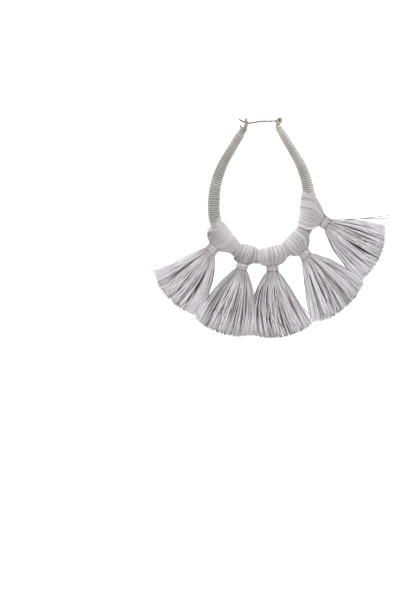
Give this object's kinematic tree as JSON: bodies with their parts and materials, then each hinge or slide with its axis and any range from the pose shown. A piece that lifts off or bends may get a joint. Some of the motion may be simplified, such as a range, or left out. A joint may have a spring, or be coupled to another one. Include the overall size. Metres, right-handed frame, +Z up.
{
  "type": "tassel earring",
  "caption": "Open teardrop hoop wound with thread, with a fan of thread tassels folded over its foot and a hinged ear wire that closes into a slotted catch.",
  "frame": {"origin": "middle of the box's base, on the surface that the earring lies on", "axes": "+X along the fan of tassels towards the hinge's side, +Y from the fan towards the ear wire, +Z up from the surface"},
  "size_m": [0.0895, 0.0838, 0.0072],
  "materials": {
    "wound_thread": "grey thread wound tightly round the hoop, matt with a soft sheen",
    "tassel_thread": "silky pale grey thread",
    "binding_thread": "the same thread, wound round the neck",
    "plated_metal": "silver-plated cast findings, softly polished",
    "wire_metal": "drawn wire, polished",
    "dark_pin": "riveted pin, dark in its hole"
  },
  "bodies": {
    "earring": {"hoop": "wound_thread", "catch": "plated_metal", "hinge_knuckle": "plated_metal", "hinge_pin": "dark_pin", "tassel_1": "tassel_thread", "tassel_2": "tassel_thread", "tassel_3": "tassel_thread", "tassel_4": "tassel_thread", "tassel_5": "tassel_thread", "binding_1": "binding_thread", "binding_2": "binding_thread", "binding_3": "binding_thread", "binding_4": "binding_thread", "binding_5": "binding_thread"},
    "ear_wire": {"ear_wire": "wire_metal"}
  },
  "joints": [
    {"name": "ear_wire_hinge", "type": "hinge", "parent": "earring", "child": "ear_wire", "pos_m": [0.00323, 0.04066, 0.0036], "axis": [0, 0, -1], "range_deg": [0, 100]}
  ]
}
